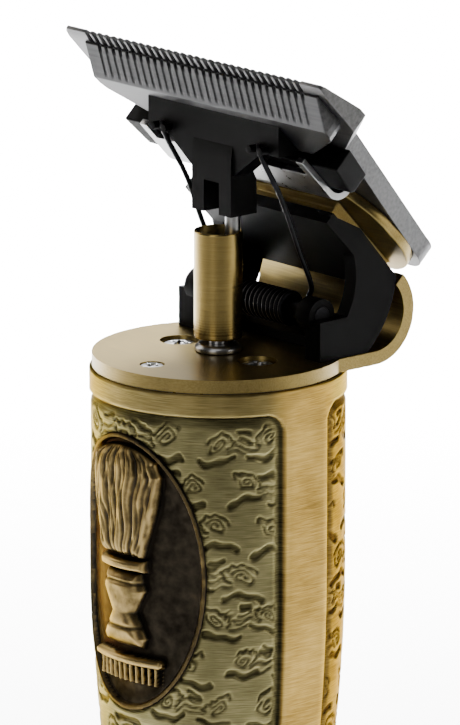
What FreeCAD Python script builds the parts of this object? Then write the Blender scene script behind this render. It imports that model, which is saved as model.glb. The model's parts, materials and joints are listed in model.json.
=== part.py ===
"""All-metal cordless T-blade hair trimmer.

Millimetres, +Z up, front towards -Y, origin at the centre of the flat bottom face.
The body tube stands on its bottom cap. A gooseneck rises from the end plate and carries the blade
set, whose plane leans back. The motor turns a sleeve with an eccentric pin, and the pin works a fork
that slides the moving blade along X.
"""
import FreeCAD
import Part
import math
import os

import Sketcher
from FreeCAD import Placement, Rotation, Vector

doc = FreeCAD.newDocument("trimmer")
nodes = []

# ---------------------------------------------------------------- driving dimensions

DIMENSIONS = {
    # end plate and gooseneck
    "plate_top": 124.0,
    "plate_thick": 1.5,
    "plate_radius": 14.0,
    "neck_half": 12.0,
    "bend_y": 12.6,
    "bend_rise": 4.2,
    "bend_inner": 4.2,
    "strap_thick": 1.5,
    "strap_end": 5.5,
    # body tube
    "body_radius": 14.3,
    "cap_height": 7.0,
    "panel_depth": 0.6,
    "panel_low": 14.0,
    "panel_high": 119.8,
    "front_panel_angle": 158.0,
    "back_panel_angle": 148.0,
    "medallion_half_angle": 42.6,
    "medallion_mid": 101.1,
    "medallion_half_tall": 15.6,
    # blade set, in the blade's own axes: along X, along the blade, and out of the blade
    "blade_tilt": 46.5,
    "blade_outer": 22.4,
    "contact_plane": 20.0,
    "blade_half": 21.3,
    "blade_tip": 27.2,
    "blade_tail": 7.6,
    "tooth_pitch": 1.16,
    "tooth_count": 31.0,
    "tooth_gap": 0.7,
    "cutter_half": 19.6,
    "flange_under": 18.8,
    "guide_under": 17.0,
    "cutter_under": 17.8,
    "running_gap": 0.02,
    # drive
    "throw": 1.6,
    "rest_angle": 43.5,
    "fork_follow": 0.7246,
    "pin_radius": 0.85,
    "pin_low": 8.0,
    "pin_high": 18.2,
    "shaft_high": 7.5,
    "fork_low": 16.0,
    "slot_half": 1.25,
    "fork_bar_half": 10.8,
    "fork_bar_low": 24.0,
    "sleeve_radius": 2.7,
    "sleeve_low": 1.6,
    "sleeve_high": 13.7,
    "shaft_radius": 1.0,
    # torsion spring: its coil lies along X
    "coil_y": 6.0,
    "coil_rise": 4.8,
    "coil_radius": 2.0,
    "wire_radius": 0.3,
    "peg_radius": 0.45,
    "peg_spread": 8.0,
    # screws
    "motor_screw_x": 6.5,
    "front_screw_y": 9.7,
    "blade_screw_x": 5.0,
    "cap_screw_x": 8.0,
    # motor and battery
    "motor_radius": 12.0,
    "motor_low": 95.0,
    "cell_radius": 7.0,
    "cell_low": 30.0,
    "cell_length": 50.0,
    "cell_shift": 2.7,
    # controls
    "button_height": 48.0,
    "board_front": 5.6,
    "lead_x": 5.5,
    "lead_y": 6.2,
    "socket_y": 5.5,
}

sheet = doc.addObject("Spreadsheet::Sheet", "dims")
for row, (alias, value) in enumerate(DIMENSIONS.items(), start=1):
    sheet.set("A%d" % row, alias)
    sheet.set("B%d" % row, str(value))
    sheet.setAlias("B%d" % row, alias)
doc.recompute()


def dim(alias):
    """The value of one driving dimension."""
    return float(sheet.get(alias))


PLATE_TOP = dim("plate_top")
PLATE_LOW = PLATE_TOP - dim("plate_thick")
REST = math.radians(dim("rest_angle"))
# The fork moves in proportion to the drive's turn, so at rest its middle is a little inside the pin's.
FORK_X = dim("throw") * dim("fork_follow") * REST
PIN_X = dim("throw") * math.sin(REST)
PIN_Y = dim("throw") * math.cos(REST)

# The blade's axes: x stays along X, y runs forward and up along the blade, z points in and down.
BLADE_FRAME = Placement(Vector(0, 0, PLATE_TOP), Rotation(Vector(1, 0, 0), 180 - dim("blade_tilt")))


# ---------------------------------------------------------------- helpers

def node(thing, label):
    """Give an object its node name and keep it for export."""
    thing.Label = label
    nodes.append(thing)
    return thing


def origin_plane(body, role):
    return next(f for f in body.Origin.OriginFeatures if f.Role == role)


def new_body(name, placement=None):
    body = doc.addObject("PartDesign::Body", name + "_body")
    if placement:
        body.Placement = placement
    return body


def outline_on(body, role, name, points, offset=0.0):
    """A closed sketch. Each point is (x, y), or (x, y, via_x, via_y) to reach it by an arc."""
    sketch = body.newObject("Sketcher::SketchObject", name)
    sketch.AttachmentSupport = [(origin_plane(body, role), "")]
    sketch.MapMode = "FlatFace"
    set_offset(sketch, offset)
    last = Vector(points[-1][0], points[-1][1], 0)
    for point in points:
        here = Vector(point[0], point[1], 0)
        if len(point) == 4:
            edge = Part.Arc(last, Vector(point[2], point[3], 0), here)
        else:
            edge = Part.LineSegment(last, here)
        sketch.addGeometry(edge, False)
        last = here
    return sketch


def set_offset(sketch, offset):
    """Lift a sketch off its plane, by a number or by a formula over the sheet."""
    if isinstance(offset, str):
        sketch.setExpression("AttachmentOffset.Base.z", offset)
    else:
        sketch.AttachmentOffset = Placement(Vector(0, 0, offset), Rotation())


def circles_on(body, role, name, circles, offset=0.0):
    """A sketch of whole circles, each (x, y, radius); a radius may be a formula over the sheet."""
    sketch = body.newObject("Sketcher::SketchObject", name)
    sketch.AttachmentSupport = [(origin_plane(body, role), "")]
    sketch.MapMode = "FlatFace"
    set_offset(sketch, offset)
    for x, y, radius in circles:
        formula = radius if isinstance(radius, str) else "%s mm" % radius
        index = sketch.addGeometry(Part.Circle(Vector(x, y, 0), Vector(0, 0, 1), 1.0), False)
        size = sketch.addConstraint(Sketcher.Constraint("Radius", index, 1.0))
        sketch.setExpression("Constraints[%d]" % size, formula)
    return sketch


def pad(body, sketch, length, both_ways=False, backwards=False):
    feature = body.newObject("PartDesign::Pad", sketch.Name + "_pad")
    feature.Profile = sketch
    bind(feature, "Length", length)
    feature.Midplane = both_ways
    feature.Reversed = backwards
    return feature


def pocket(body, sketch, length, both_ways=False, backwards=False):
    """Cut a pocket, and refuse one that takes nothing away."""
    doc.recompute()
    before = body.Shape.Volume
    feature = body.newObject("PartDesign::Pocket", sketch.Name + "_pocket")
    feature.Profile = sketch
    bind(feature, "Length", length)
    feature.Midplane = both_ways
    feature.Reversed = backwards
    doc.recompute()
    if not body.Shape.Volume < before - 1e-3:
        raise RuntimeError(sketch.Name + " cuts nothing")
    return feature


def revolve(body, sketch, kind="PartDesign::Revolution", angle=360.0, centred=False):
    feature = body.newObject(kind, sketch.Name + "_turn")
    feature.Profile = sketch
    feature.ReferenceAxis = (sketch, ["V_Axis"])
    bind(feature, "Angle", angle)
    feature.Midplane = centred
    return feature


def bind(feature, name, value):
    """Set a number, or bind the property to a formula over the sheet."""
    if isinstance(value, str):
        feature.setExpression(name, value)
    else:
        setattr(feature, name, value)


def turned(label, points, placement=None):
    """A solid turned about Z from its half section, as (radius, height) points."""
    body = new_body(label, placement)
    revolve(body, outline_on(body, "XZ_Plane", label + "_section", points))
    return node(body, label)


def plate_piece(label, points, length, role="XY_Plane", offset=0.0, placement=None, both_ways=False):
    """A solid pushed out of one flat outline."""
    body = new_body(label, placement)
    pad(body, outline_on(body, role, label + "_outline", points, offset), length, both_ways)
    return node(body, label)


def cylinder(name, radius, height, base, axis=Vector(0, 0, 1)):
    part = doc.addObject("Part::Cylinder", name)
    bind(part, "Radius", radius)
    bind(part, "Height", height)
    part.Placement = Placement(base, Rotation(Vector(0, 0, 1), axis))
    return part


def box(name, low, high):
    """A block between two corners."""
    part = doc.addObject("Part::Box", name)
    part.Length, part.Width, part.Height = (b - a for a, b in zip(low, high))
    part.Placement = Placement(Vector(*low), Rotation())
    return part


def group(kind, name, parts):
    """Several Part objects as one, by Part::MultiFuse, Part::Compound and the like."""
    joined = doc.addObject(kind, name)
    if kind == "Part::Compound":
        joined.Links = parts
    else:
        joined.Shapes = parts
    return joined


def cut(name, base, tool):
    result = doc.addObject("Part::Cut", name)
    result.Base = base
    result.Tool = tool
    return result


def rectangle(x0, y0, x1, y1):
    return [(x0, y0), (x1, y0), (x1, y1), (x0, y1)]


def mirrored(half):
    """A whole outline from its half at positive x, its arcs kept."""
    back = []
    for i in range(len(half) - 1, -1, -1):
        via = half[i + 1][2:] if i + 1 < len(half) else ()
        point = (-half[i][0], half[i][1])
        back.append(point + (-via[0], via[1]) if via else point)
    return half + back


def shifted(points, dx):
    """The same outline moved along x."""
    return [tuple(v + dx if i % 2 == 0 else v for i, v in enumerate(point)) for point in points]


def around(centre, radius, degrees):
    """A point on a circle, as (x, y)."""
    turn = math.radians(degrees)
    return centre[0] + radius * math.cos(turn), centre[1] + radius * math.sin(turn)


# ---------------------------------------------------------------- body tube and bottom cap

CAP_SCREWS = (-dim("cap_screw_x"), dim("cap_screw_x"))
FOOT = (13.7, dim("cap_height"))
HIP = (13.57, 22.0)
WAIST = (11.88, 58.6)
PANEL_TOP = (dim("body_radius"), dim("panel_high"))
BORE_TOP = 12.6
BORE_WAIST = 9.9
BORE_FOOT = 11.7


def outer_side(inset=0.0):
    """The tube's outer line from the foot up, moved in by inset: a slow hourglass."""
    return [
        (FOOT[0] - inset, FOOT[1]),
        (HIP[0] - inset, HIP[1]),
        (12.6 - inset, 43.0, 13.33 - inset, 32.5),
        (12.98 - inset, 78.0, WAIST[0] - inset, WAIST[1]),
        (14.29 - inset, 101.0, 13.96 - inset, 89.5),
        (PANEL_TOP[0] - inset, PANEL_TOP[1]),
    ]


def low_side(height):
    """The tube's radius at a height between the foot and the hip."""
    share = (height - FOOT[1]) / (HIP[1] - FOOT[1])
    return FOOT[0] + share * (HIP[0] - FOOT[0])


def make_housing():
    body = new_body("housing")
    inner = [(BORE_TOP, PLATE_LOW), (BORE_TOP, 92.0), (BORE_WAIST, 72.0), (BORE_WAIST, 46.0),
             (BORE_FOOT, 26.0), (BORE_FOOT, dim("cap_height"))]
    top = [(dim("body_radius"), PLATE_LOW)]
    revolve(body, outline_on(body, "XZ_Plane", "housing_section", outer_side() + top + inner))
    doc.recompute()
    # relief panels, front and back, between the flat columns
    low, clear = dim("panel_low"), dim("body_radius") + 1
    for side, turn in (("front", -90.0), ("back", 90.0)):
        depth = dim("panel_depth")
        face = outer_side(depth)
        face[0] = (low_side(low) - depth, low)
        edge = [(clear, PANEL_TOP[1]), (clear, low)]
        sketch = outline_on(body, "XZ_Plane", side + "_panel", face + edge)
        sketch.AttachmentOffset = Placement(Vector(), Rotation(Vector(0, 1, 0), turn))
        before = body.Shape.Volume
        revolve(body, sketch, "PartDesign::Groove", "dims.%s_panel_angle" % side, centred=True)
        doc.recompute()
        if not body.Shape.Volume < before - 1:
            raise RuntimeError(side + " panel cuts nothing")
    # holes for the button and the light, through the front wall
    holes = [(0, dim("button_height"), 3.35), (0, dim("button_height") - 9.0, 1.15)]
    pocket(body, circles_on(body, "XZ_Plane", "button_hole", holes, "dims.body_radius"), 8.0)
    return node(body, "housing")


def make_medallion():
    """An oval plaque that follows the front of the tube and fills the panel's depth."""
    body = new_body("medallion")
    middle, tall = dim("medallion_mid"), dim("medallion_half_tall")
    face = outer_side(-0.1)[3:]
    floor = outer_side(dim("panel_depth") - 0.02)[3:]
    strip = [face[0][:2], face[1], face[2], floor[2][:2], (floor[1][0], floor[1][1]),
             (floor[0][0], floor[0][1], floor[1][2], floor[1][3])]
    sketch = outline_on(body, "XZ_Plane", "medallion_section", strip)
    sketch.AttachmentOffset = Placement(Vector(), Rotation(Vector(0, 1, 0), -90))
    revolve(body, sketch, angle="dims.medallion_half_angle * 2 + 10", centred=True)
    wide = dim("body_radius") * math.sin(math.radians(dim("medallion_half_angle")))
    trim = outline_on(body, "XZ_Plane", "medallion_oval", rectangle(-20, 60, 20, 140), 30.0)
    centre = Vector(0, middle, 0)
    trim.addGeometry(Part.Ellipse(Vector(0, middle + tall, 0), Vector(wide, middle, 0), centre), False)
    pocket(body, trim, 60.0)
    return node(body, "medallion")


def stadium(half_straight, radius):
    """The charging socket's flat oval."""
    y, end = dim("socket_y"), half_straight + radius
    return [(half_straight, y - radius), (half_straight, y + radius, end, y), (-half_straight, y + radius),
            (-half_straight, y - radius, -end, y)]


def make_bottom_cap():
    cap = dim("cap_height")
    body = new_body("bottom_cap")
    section = [(0, 0), (FOOT[0] - 0.8, 0), (FOOT[0], 0.8), (FOOT[0], cap - 0.4), (11.65, cap - 0.4),
               (11.65, 10.0), (10.2, 10.0), (10.2, 2.0), (0, 2.0)]
    revolve(body, outline_on(body, "XZ_Plane", "cap_section", section))
    posts = circles_on(body, "XY_Plane", "cap_posts", [(x, 0, 2.1) for x in CAP_SCREWS], 1.5)
    pad(body, posts, 6.0)
    pocket(body, circles_on(body, "XY_Plane", "cap_bores", [(x, 0, 0.82) for x in CAP_SCREWS], 12.0), 13.0)
    heads = circles_on(body, "XY_Plane", "cap_head_bores", [(x, 0, 1.7) for x in CAP_SCREWS], 1.2)
    pocket(body, heads, 2.0)
    pocket(body, outline_on(body, "XY_Plane", "socket_slot", stadium(2.9, 1.7), 3.0), 4.0)
    node(body, "bottom_cap")

    rim = FOOT[0] - 0.2
    turned("cap_gasket", [(11.7, cap - 0.4), (rim, cap - 0.4), (rim, cap), (11.7, cap)])
    screws = []
    for i, x in enumerate(CAP_SCREWS):
        head = cylinder("cap_head_%d" % i, 1.6, 0.8, Vector(x, 0, 0.35))
        shank = cylinder("cap_shank_%d" % i, 0.8, 13.5, Vector(x, 0, 1.1))
        screws.append(group("Part::MultiFuse", "cap_screw_%d" % i, [head, shank]))
    node(group("Part::Compound", "bottom_screws_group", screws), "bottom_screws")


# ---------------------------------------------------------------- end plate and gooseneck

BEND = (dim("bend_y"), PLATE_TOP + dim("bend_rise"))
BEND_OUTER = dim("bend_inner") + dim("strap_thick")
STRAP_ANGLE = 90 - dim("blade_tilt")
MOTOR_SCREW_X = dim("motor_screw_x")
FRONT_SCREW_Y = -dim("front_screw_y")
BLADE_SCREWS = (-dim("blade_screw_x"), dim("blade_screw_x"))


def strap_point(along, out):
    """A point of the (Y, Z) section given along the blade and out of it."""
    tilt = math.radians(dim("blade_tilt"))
    return (out * math.sin(tilt) - along * math.cos(tilt),
            PLATE_TOP + out * math.cos(tilt) + along * math.sin(tilt))


def bend_rise_along():
    """How far along the blade's direction the bend ends."""
    tilt = math.radians(dim("blade_tilt"))
    return -BEND[0] * math.cos(tilt) + dim("bend_rise") * math.sin(tilt)


def strap_outs():
    """The strap's two faces, as distances out from the blade's own origin."""
    tilt = math.radians(dim("blade_tilt"))
    centre = BEND[0] * math.sin(tilt) + dim("bend_rise") * math.cos(tilt)
    return centre + dim("bend_inner"), centre + BEND_OUTER


def make_neck_bracket():
    body = new_body("neck_bracket")
    disc = circles_on(body, "XY_Plane", "plate_disc", [(0, 0, "dims.plate_radius")],
                      "dims.plate_top - dims.plate_thick")
    pad(body, disc, "dims.plate_thick")
    inner_out, outer_out = strap_outs()
    bend_end = around(BEND, BEND_OUTER, STRAP_ANGLE)
    inner_end = around(BEND, dim("bend_inner"), STRAP_ANGLE)
    middle = (STRAP_ANGLE - 90) / 2
    section = [
        (5.0, PLATE_LOW),
        (BEND[0], PLATE_LOW),
        bend_end + around(BEND, BEND_OUTER, middle),
        strap_point(dim("strap_end"), outer_out),
        strap_point(dim("strap_end"), inner_out),
        inner_end,
        (BEND[0], PLATE_TOP) + around(BEND, dim("bend_inner"), middle),
        (5.0, PLATE_TOP),
    ]
    pad(body, outline_on(body, "YZ_Plane", "neck_section", section), "dims.neck_half * 2", both_ways=True)
    # past the bend the strap is narrower
    start = bend_rise_along()
    waste = [strap_point(start, inner_out - 1), strap_point(dim("strap_end") + 1, inner_out - 1),
             strap_point(dim("strap_end") + 1, outer_out + 1), strap_point(start, outer_out + 1)]
    side = outline_on(body, "YZ_Plane", "strap_side_right", waste, 16.0)
    pocket(body, side, 7.0)
    side = outline_on(body, "YZ_Plane", "strap_side_left", waste, -9.0)
    pocket(body, side, 7.0)
    # shaft hole, motor screws in counterbores, and the flush front screw
    holes = [(0, 0, 2.25), (-MOTOR_SCREW_X, 0, 1.05), (MOTOR_SCREW_X, 0, 1.05), (0, FRONT_SCREW_Y, 0.85)]
    pocket(body, circles_on(body, "XY_Plane", "plate_holes", holes, "dims.plate_top + 1"), 4.0)
    bores = [(-MOTOR_SCREW_X, 0, 2.2), (MOTOR_SCREW_X, 0, 2.2)]
    pocket(body, circles_on(body, "XY_Plane", "plate_counterbores", bores, "dims.plate_top + 1"), 1.9)
    front = [(0, FRONT_SCREW_Y, 1.4)]
    pocket(body, circles_on(body, "XY_Plane", "front_counterbore", front, "dims.plate_top + 1"), 1.6)
    doc.recompute()
    # the blade screws' holes, square to the strap
    node(cut("neck_bracket_cut", body, screw_drills("neck")), "neck_bracket")


def screw_drills(name):
    """Both blade screws' clearance holes, as one cutting tool."""
    drills = [blade_drill("%s_drill_%d" % (name, i), x, 1.02) for i, x in enumerate(BLADE_SCREWS)]
    return group("Part::MultiFuse", name + "_drills", drills)


def blade_drill(name, x, radius, low=-24.0, high=-14.0):
    """A cylinder square to the blade, between two depths in the blade's own axes."""
    part = doc.addObject("Part::Cylinder", name)
    part.Radius = radius
    part.Height = high - low
    part.Placement = BLADE_FRAME.multiply(Placement(Vector(x, 0, low), Rotation()))
    return part


def make_plate_screws():
    screws = []
    for i, x in enumerate((-MOTOR_SCREW_X, MOTOR_SCREW_X)):
        head = cylinder("motor_head_%d" % i, 1.95, 0.7, Vector(x, 0, PLATE_TOP - 0.9))
        shank = cylinder("motor_shank_%d" % i, 1.0, 4.0, Vector(x, 0, PLATE_TOP - 4.7))
        screws.append(group("Part::MultiFuse", "motor_screw_%d" % i, [head, shank]))
    head = cylinder("front_head", 1.35, 0.6, Vector(0, FRONT_SCREW_Y, PLATE_TOP - 0.6))
    shank = cylinder("front_shank", 0.8, 4.0, Vector(0, FRONT_SCREW_Y, PLATE_TOP - 4.4))
    screws.append(group("Part::MultiFuse", "front_screw", [head, shank]))
    node(group("Part::Compound", "plate_screws_group", screws), "plate_screws")


# ---------------------------------------------------------------- blade set

def make_fixed_blade():
    body = new_body("fixed_blade", BLADE_FRAME)
    wide, tip = dim("blade_half"), dim("blade_tip")
    half = [(wide - 0.3, tip), (wide, tip - 0.5), (wide, 19.8), (16.4, 15.3),
            (12.9, -4.6), (9.4, -dim("blade_tail"), 12.1, -6.7)]
    outer = dim("blade_outer")
    sketch = outline_on(body, "XY_Plane", "blade_outline", mirrored(half), "-dims.blade_outer")
    pad(body, sketch, "dims.blade_outer - dims.contact_plane")
    tip += 0.1
    bevel = [(20.9, -outer), (tip, 1.75 - outer), (tip, -outer - 1), (20.9, -outer - 1)]
    pocket(body, outline_on(body, "YZ_Plane", "blade_bevel", bevel), 50.0, both_ways=True)
    under = dim("contact_plane")
    relief = [(25.9, 1 - under), (25.9, -under), (tip, -under - 0.25), (tip, 1 - under)]
    pocket(body, outline_on(body, "YZ_Plane", "tip_relief", relief), 50.0, both_ways=True)
    bores = circles_on(body, "XY_Plane", "blade_holes", [(x, 0, 1.05) for x in BLADE_SCREWS])
    pocket(body, bores, 60.0, both_ways=True)
    heads = circles_on(body, "XY_Plane", "blade_head_bores", [(x, 0, 2.2) for x in BLADE_SCREWS], 1.2 - outer)
    pocket(body, heads, 3.0)
    comb(body, "blade_gap", dim("tooth_count"), dim("tooth_gap"), 22.6, dim("blade_tip") + 1)
    node(body, "fixed_blade")


def comb(body, name, count, gap, root, tip, middle=0.0):
    """Cut a row of tooth gaps through a blade."""
    first = middle - (count - 1) * dim("tooth_pitch") / 2
    sketch = outline_on(body, "XY_Plane", name, rectangle(first - gap / 2, root, first + gap / 2, tip))
    feature = pocket(body, sketch, 60.0, both_ways=True)
    pattern = body.newObject("PartDesign::LinearPattern", name + "_row")
    pattern.Originals = [feature]
    pattern.Direction = (sketch, ["H_Axis"])
    pattern.Length = (count - 1) * dim("tooth_pitch")
    pattern.Occurrences = int(count)
    body.Tip = pattern


def make_moving_blade():
    body = new_body("moving_blade", BLADE_FRAME)
    wide, under = dim("cutter_half"), dim("cutter_under")
    half = [(wide, 25.8), (wide, 20.0), (wide - 3.5, 16.5, wide - 1.025, 17.525)]
    contact = dim("contact_plane") - dim("running_gap")
    sketch = outline_on(body, "XY_Plane", "cutter_outline", shifted(mirrored(half), FORK_X),
                        "dims.running_gap - dims.contact_plane")
    pad(body, sketch, "dims.contact_plane - dims.running_gap - dims.cutter_under")
    bevel = [(25.9, 0.25 - contact), (22.1, -under), (22.1, 1 - under), (25.9, 1 - under)]
    pocket(body, outline_on(body, "YZ_Plane", "cutter_bevel", bevel), 60.0, both_ways=True)
    comb(body, "cutter_gap", 30, 0.5, 23.9, 27.0, FORK_X)
    node(body, "moving_blade")


def make_blade_plate():
    """A rounded flange under the blade, on a narrower block that sits on the strap."""
    body = new_body("blade_plate_blank", BLADE_FRAME)
    under, foot = dim("flange_under"), strap_outs()[1]
    flange = mirrored([(9.4, 7.6), (13.6, 0.6, 12.6, 5.0), (8.8, -7.2, 12.3, -4.9)])
    pad(body, outline_on(body, "XY_Plane", "plate_flange", flange, "-dims.contact_plane"),
        "dims.contact_plane - dims.flange_under")
    block = rectangle(-8.8, -5.6, 8.8, 5.4)
    pad(body, outline_on(body, "XY_Plane", "plate_block", block, -under - 0.1), under + 0.1 - foot)
    node(cut("blade_plate_cut", body, screw_drills("plate")), "blade_plate")


def make_blade_screws():
    outer = dim("blade_outer")
    inner = strap_outs()[0]
    screws = []
    for i, x in enumerate(BLADE_SCREWS):
        head = blade_drill("blade_head_%d" % i, x, 2.15, -outer, 1.2 - outer)
        shank = blade_drill("blade_shank_%d" % i, x, 1.0, 1.0 - outer, -inner)
        screws.append(group("Part::MultiFuse", "blade_screw_%d" % i, [head, shank]))
    node(group("Part::Compound", "blade_screws_group", screws), "blade_screws")


def make_guides():
    """The steel channel behind the cutter, and the black block inside it."""
    under = dim("contact_plane") - 0.02
    top = dim("guide_under")
    low = top - 0.7
    channel = [(14.5, -low), (14.5, -top), (11.2, -top), (9.5, -top - 1.5, 9.998, -top - 0.45), (9.5, -under),
               (8.8, -under), (8.8, -top - 1.4), (11.0, -low, 9.44, -low - 0.61)]
    plate_piece("blade_guide", channel, 27.0, role="YZ_Plane", placement=BLADE_FRAME, both_ways=True)
    guide = nodes.pop()
    # its ends run on towards the cutter as two narrow arms
    for name, offset in (("guide_arm_left", -13.5), ("guide_arm_right", 12.4)):
        arm = rectangle(14.4, -top, 16.8, -low)
        pad(guide, outline_on(guide, "YZ_Plane", name, arm, offset), 1.1)
    node(guide, "blade_guide")
    half = [(17.6, 15.7), (16.7, 11.0), (13.8, 9.7)]
    plate_piece("guide_spacer", mirrored(half), under - top - 0.05, offset=-under, placement=BLADE_FRAME)
    # the block's lower rear edge clears the channel's round corner
    block = nodes.pop()
    waste = [(9.0, -top - 2.2), (12.05, -top + 0.5), (9.0, -top + 0.5)]
    pocket(block, outline_on(block, "YZ_Plane", "spacer_corner", waste), 60.0, both_ways=True)
    node(block, "guide_spacer")


# ---------------------------------------------------------------- drive

def make_drive():
    top = PLATE_TOP
    sleeve = [(dim("shaft_radius"), dim("sleeve_low")), (dim("sleeve_radius") - 0.15, dim("sleeve_low")),
              (dim("sleeve_radius"), dim("sleeve_low") + 0.15), (dim("sleeve_radius"), dim("sleeve_high")),
              (2.52, dim("sleeve_high")), (2.52, dim("sleeve_high") - 1.2), (0, dim("sleeve_high") - 1.2),
              (0, dim("shaft_high")), (dim("shaft_radius"), dim("shaft_high"))]
    body = new_body("drive_sleeve")
    revolve(body, outline_on(body, "XZ_Plane", "sleeve_section", [(r, top + z) for r, z in sleeve]))
    hole = circles_on(body, "XY_Plane", "pin_hole", [(PIN_X, PIN_Y, "dims.pin_radius")],
                      "dims.plate_top + dims.sleeve_high")
    pocket(body, hole, "dims.sleeve_high - dims.pin_low")
    node(body, "drive_sleeve")
    pin = cylinder("pin", "dims.pin_radius", "dims.pin_high - dims.pin_low",
                   Vector(PIN_X, PIN_Y, top + dim("pin_low")))
    node(pin, "drive_pin")


def make_swing_fork():
    """The black carrier: a bar on the cutter's back, a web, and a slotted block for the pin."""
    def at(points):
        return [(y, PLATE_TOP + z) for y, z in points]

    body = new_body("swing_fork", Placement(Vector(FORK_X, 0, 0), Rotation()))
    tilt = math.radians(dim("blade_tilt"))

    def under_blade(y):
        return (dim("cutter_under") - y * math.sin(tilt)) / math.cos(tilt)

    low, high = dim("fork_low"), dim("fork_bar_low")
    bar = at([(-1.55, under_blade(-1.55)), (-1.55, high), (1.6, high), (1.6, under_blade(1.6))])
    pad(body, outline_on(body, "YZ_Plane", "fork_bar", bar), "dims.fork_bar_half * 2", both_ways=True)
    join = high + 0.05
    block = at([(-1.8, low), (2.0, low), (2.0, 19.8), (1.4, 21.0), (1.4, join), (-1.5, join), (-1.8, 22.4)])
    pad(body, outline_on(body, "YZ_Plane", "fork_block", block), 6.5, both_ways=True)
    web = [(8.0, PLATE_TOP + join), (3.0, PLATE_TOP + 20.4)]
    pad(body, outline_on(body, "XZ_Plane", "fork_web", mirrored(web), 1.5), 2.6, backwards=True)
    gap, spread = 0.9, dim("peg_spread")
    places = (-spread - gap, gap - spread, spread - gap, spread + gap)
    pegs = [(x, PLATE_TOP + high + 0.5, "dims.peg_radius") for x in places]
    pad(body, circles_on(body, "XZ_Plane", "fork_pegs", pegs, 1.4), 1.25)
    half = dim("slot_half")
    slot = rectangle(-half, PLATE_TOP + low - 1, half, PLATE_TOP + 19.6)
    pocket(body, outline_on(body, "XZ_Plane", "fork_slot", slot, 5.0), 10.0)
    node(body, "swing_fork")


COIL = (dim("coil_y"), dim("coil_rise"))
COIL_RADIUS = dim("coil_radius")
WIRE = dim("wire_radius")


def make_torsion_spring():
    """The coil as a tube along X, and two bent legs that end in front of the fork's bar."""
    top = PLATE_TOP
    coil = Part.makeCylinder(COIL_RADIUS, 12.0, Vector(-6, COIL[0], top + COIL[1]), Vector(1, 0, 0))
    coil = coil.cut(Part.makeCylinder(COIL_RADIUS - 2 * WIRE, 14.0, Vector(-7, COIL[0], top + COIL[1]),
                                      Vector(1, 0, 0)))
    legs = []
    for side in (-1, 1):
        hook = FORK_X + side * dim("peg_spread")
        route = [Vector(side * 5.7, COIL[0] + COIL_RADIUS - WIRE, top + COIL[1]),
                 Vector(side * 6.8, 7.3, top + 7.4), Vector(side * 7.4, 2.9, top + 15.2),
                 Vector(hook, -1.0, top + 22.4), Vector(hook, -2.0, top + 24.0),
                 Vector(hook, -2.0, top + 25.0)]
        for a, b in zip(route, route[1:]):
            legs.append(Part.makeCylinder(WIRE, (b - a).Length, a, b - a))
            legs.append(Part.makeSphere(WIRE, b))
    spring = doc.addObject("Part::Feature", "torsion_spring_solid")
    spring.Shape = coil.multiFuse(legs).removeSplitter()
    node(spring, "torsion_spring")
    pin = cylinder("spring_rod", 1.1, 21.0, Vector(-10.5, COIL[0], top + COIL[1]), Vector(1, 0, 0))
    node(pin, "spring_pin")


def make_spring_bracket():
    """Two feet on the plate, two C-shaped cheeks, and a cross plate under the strap."""
    floor = PLATE_TOP + 0.02
    inner = strap_outs()[0]
    front, back, tall = 4.5, 11.6, 4.5
    body = new_body("spring_bracket")
    cheek = [(front, floor), (back, floor), (15.9, PLATE_TOP + 8.0, 14.5, PLATE_TOP + 3.6),
             strap_point(3.2, 17.4), strap_point(8.2, 15.6), (6.9, PLATE_TOP + 15.3),
             (8.5, PLATE_TOP + tall, 9.8, PLATE_TOP + 9.6), (front, PLATE_TOP + tall)]
    outside, thick, foot_wide = 11.8, 1.8, 2.5
    for name, side in (("cheek_left", -outside), ("cheek_right", outside - thick)):
        pad(body, outline_on(body, "YZ_Plane", name, cheek, side), thick)
    cross = [strap_point(-4.6, inner - 0.1), strap_point(7.6, inner - 0.1), strap_point(7.6, inner - 1.5),
             strap_point(-4.6, inner - 1.5)]
    pad(body, outline_on(body, "YZ_Plane", "cross_plate", cross), 2 * outside, both_ways=True)
    foot = [(front, floor), (back, floor), (back, PLATE_TOP + 3.4), (10.4, PLATE_TOP + tall),
            (front, PLATE_TOP + tall)]
    for name, side in (("foot_left", -outside), ("foot_right", outside - foot_wide)):
        pad(body, outline_on(body, "YZ_Plane", name, foot, side), foot_wide)
    # round bosses that hold the spring's pin
    boss = [(COIL[0], PLATE_TOP + COIL[1], 1.9)]
    for name, side in (("boss_left", -10.4), ("boss_right", 8.2)):
        pad(body, circles_on(body, "YZ_Plane", name, boss, side), 2.2)
    base = [(8.2, floor), (back, floor), (back, PLATE_TOP + 1.2), (8.2, PLATE_TOP + 1.2)]
    pad(body, outline_on(body, "YZ_Plane", "bracket_base", base), 20.0, both_ways=True)
    bore = circles_on(body, "YZ_Plane", "pin_bore", [(COIL[0], PLATE_TOP + COIL[1], 1.12)], 10.7)
    pocket(body, bore, 21.4)
    node(body, "spring_bracket")


# ---------------------------------------------------------------- motor

LEAD_X = dim("lead_x")
LEAD_Y = -dim("lead_y")


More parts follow.
